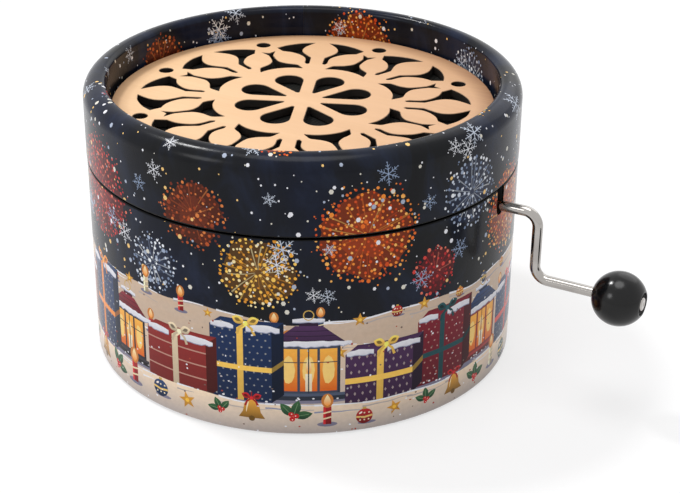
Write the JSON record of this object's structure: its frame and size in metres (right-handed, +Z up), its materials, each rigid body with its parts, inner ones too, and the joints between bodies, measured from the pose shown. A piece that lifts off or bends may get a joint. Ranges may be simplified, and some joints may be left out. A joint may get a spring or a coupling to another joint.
{
  "type": "hand cranked music box",
  "caption": "Round printed card music box with a lift-off lid, a pierced wooden rosette in its recessed top and a bent wire crank with a ball knob.",
  "frame": {"origin": "centre of the round underside, on the surface that the box stands on", "axes": "+Z up through the middle of the lid, +X out along the crank shaft"},
  "size_m": [0.1412, 0.105, 0.0694],
  "materials": {
    "printed_paper": "printed paper with a satin laminate",
    "black_board": "black paper-faced board, matt",
    "grey_board": "bare grey board, matt",
    "lime_wood": "sanded and unvarnished, laser-cut edges slightly charred",
    "backing_cloth": "thin black woven cloth",
    "cast_zinc": "satin die-cast zinc",
    "comb_steel": "ground and hardened steel",
    "screw_steel": "bright zinc-plated steel",
    "bracket_steel": "stamped nickel-plated steel",
    "brass": "drawn and turned brass",
    "chrome_wire": "bright plated steel wire",
    "black_ball": "glossy black moulding"
  },
  "bodies": {
    "base": {"bottom_card": "black_board", "base_board": "grey_board", "base_tube": "black_board", "base_wrap": "printed_paper", "neck_tube": "black_board", "deck_spacer": "grey_board", "sound_deck": "lime_wood", "deck_screw_1": "screw_steel", "deck_screw_2": "screw_steel", "deck_screw_3": "screw_steel", "bedplate": "cast_zinc", "comb": "comb_steel", "comb_screw_1": "screw_steel", "comb_screw_2": "screw_steel", "crank_bracket": "bracket_steel", "bracket_screw_1": "screw_steel", "bracket_screw_2": "screw_steel", "crank_bush_inner": "brass", "crank_bush_outer": "brass"},
    "lid": {"lid_tube": "grey_board", "lid_liner": "grey_board", "lid_wrap": "printed_paper", "grille_ledge": "black_board", "grille_cloth": "backing_cloth", "grille": "lime_wood"},
    "cylinder": {"pinned_cylinder": "brass", "cylinder_cap_near": "brass", "cylinder_cap_far": "brass", "cylinder_arbor": "screw_steel", "arbor_clip": "screw_steel", "worm_wheel": "brass"},
    "crank": {"crank_rod": "chrome_wire", "worm": "screw_steel", "rod_clip": "screw_steel"},
    "knob": {"crank_knob": "black_ball"}
  },
  "joints": [
    {"name": "lid_lift", "type": "slide", "parent": "base", "child": "lid", "axis": [0, 0, 1], "range_m": [0, 0.04]},
    {"name": "crank_turn", "type": "hinge", "parent": "base", "child": "crank", "pos_m": [0.03, 0, 0.046], "axis": [1, 0, 0], "continuous": true},
    {"name": "cylinder_turn", "type": "hinge", "parent": "base", "child": "cylinder", "pos_m": [0.01, 0, 0.038], "axis": [0, 1, 0], "continuous": true},
    {"name": "knob_spin", "type": "hinge", "parent": "crank", "child": "knob", "pos_m": [0.0829, 0, 0.0294], "axis": [1, 0, 0], "continuous": true}
  ],
  "couplings": [
    {"joint": "cylinder_turn", "follows": "crank_turn", "ratio": -0.0625}
  ]
}
